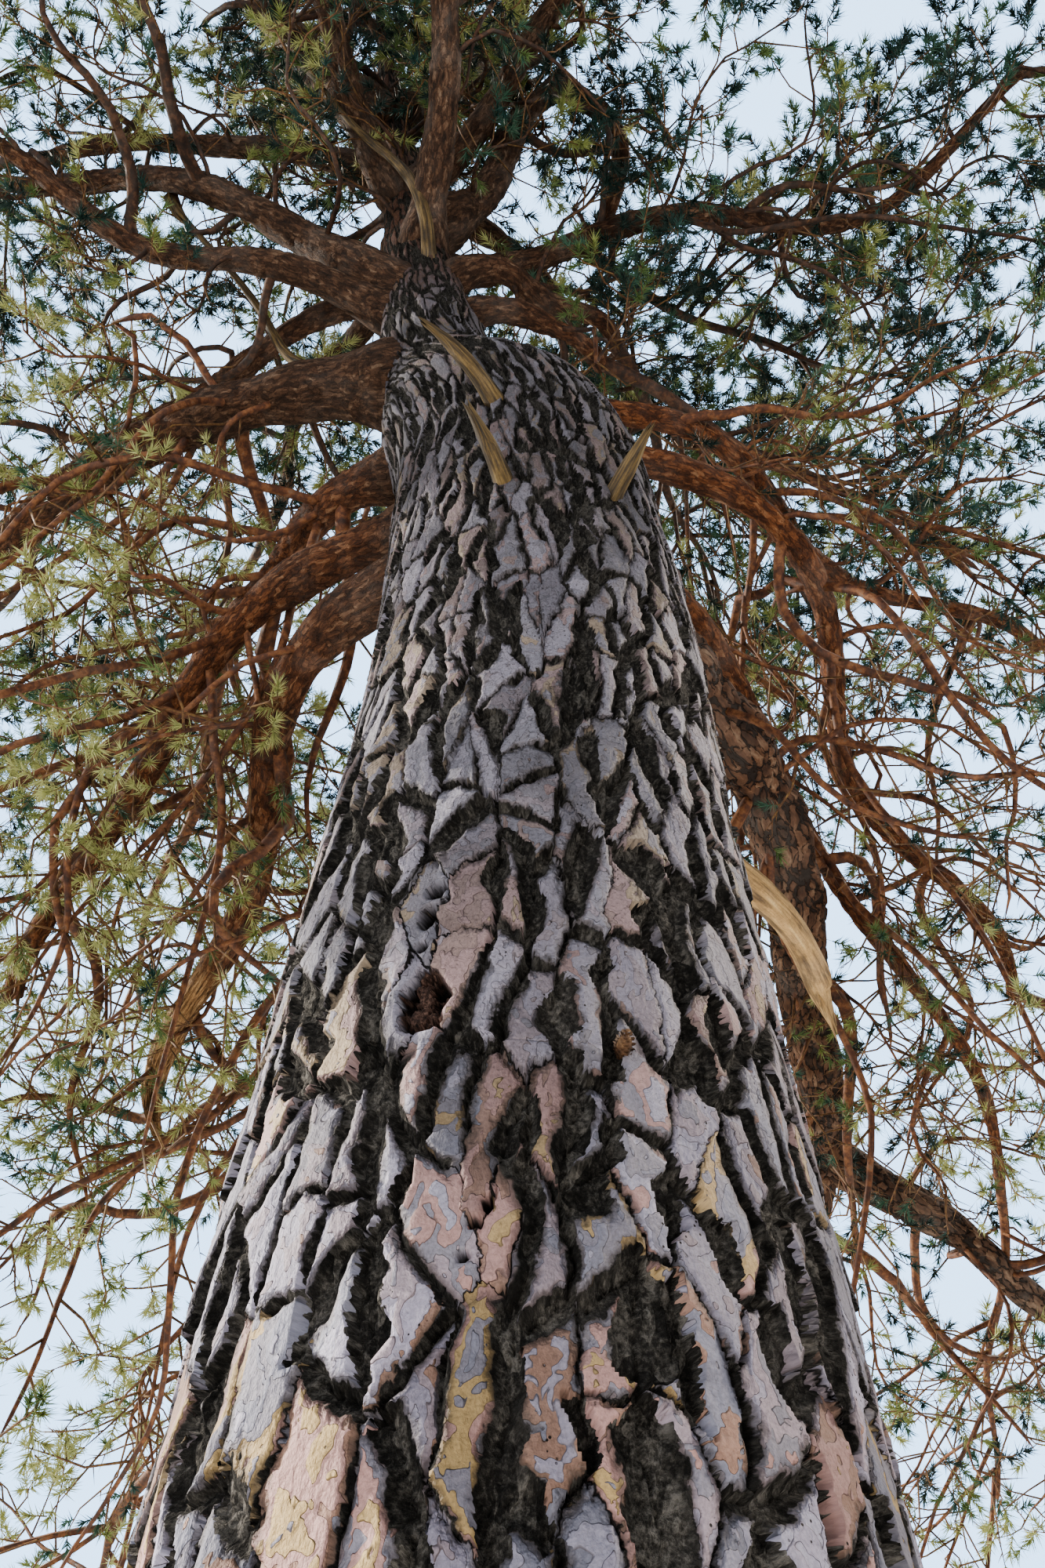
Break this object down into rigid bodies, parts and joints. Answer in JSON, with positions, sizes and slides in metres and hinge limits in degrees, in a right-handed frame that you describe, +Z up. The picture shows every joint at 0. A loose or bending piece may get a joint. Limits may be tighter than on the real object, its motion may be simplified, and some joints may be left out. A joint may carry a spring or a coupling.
{
  "type": "pine tree",
  "caption": "Old pine with a thick plated trunk leaning a little, a swollen shoulder, crooked boughs all round, dead limbs and open masses of needles.",
  "frame": {"origin": "middle of the trunk's flat cut at ground level", "axes": "+Z up, -Y towards the side that the picture was taken from, +X to that viewer's right"},
  "size_m": [12.7008, 13.602, 15.5018],
  "materials": {
    "trunk_bark": "rough plated bark, grey, pink and ochre plates between dark fissures",
    "bough_bark": "thin flaking orange-brown bark",
    "dead_wood": "bare bleached wood",
    "needles": "green needles, satin"
  },
  "bodies": {
    "root": {"trunk": "trunk_bark", "bough_left_main": "bough_bark", "bough_rear_main": "bough_bark", "bough_top_left": "bough_bark", "bough_crown_left_outer": "bough_bark", "bough_arch_rise": "bough_bark", "bough_left_torn": "bough_bark", "bough_left_lower_sweep": "bough_bark", "bough_left_upper_sweep": "bough_bark", "bough_left_drooping": "bough_bark", "bough_crown_left_inner": "bough_bark", "bough_crown_left_top": "bough_bark", "bough_crown_left_back": "bough_bark", "bough_right_long": "bough_bark", "bough_right_inner": "bough_bark", "bough_right_short": "bough_bark", "bough_right_sweep": "bough_bark", "bough_right_upper_sweep": "bough_bark", "bough_right_lower_sweep": "bough_bark", "bough_back_left": "bough_bark", "bough_back_middle": "bough_bark", "bough_back_right": "bough_bark", "bough_front_left": "bough_bark", "bough_front_middle": "bough_bark", "bough_front_right": "bough_bark", "bough_top_right": "bough_bark", "bough_arch_fall": "bough_bark", "bough_rear_outer": "bough_bark", "bough_rear_leg": "bough_bark", "dead_limb_bleached": "dead_wood", "dead_branch_neck": "dead_wood", "dead_branch_left": "dead_wood", "dead_stub_front": "dead_wood", "dead_stub_shoulder": "dead_wood", "dead_stub_right": "dead_wood", "needles_left_main": "needles", "needles_left_upper": "needles", "needles_left_lower": "needles", "needles_left_drooping": "needles", "needles_crown_left_outer": "needles", "needles_crown_left_inner": "needles", "needles_crown_left_top": "needles", "needles_crown_left_back": "needles", "needles_top_left": "needles", "needles_right_inner": "needles", "needles_right_short": "needles", "needles_arch": "needles", "needles_right_long": "needles", "needles_right_sweep": "needles", "needles_right_upper": "needles", "needles_right_lower": "needles", "needles_rear_outer": "needles", "needles_back_left": "needles", "needles_back_middle": "needles", "needles_back_right": "needles", "needles_front_left": "needles", "needles_front_middle": "needles", "needles_front_right": "needles", "needles_top_right": "needles", "needles_top": "needles"}
  },
  "joints": []
}
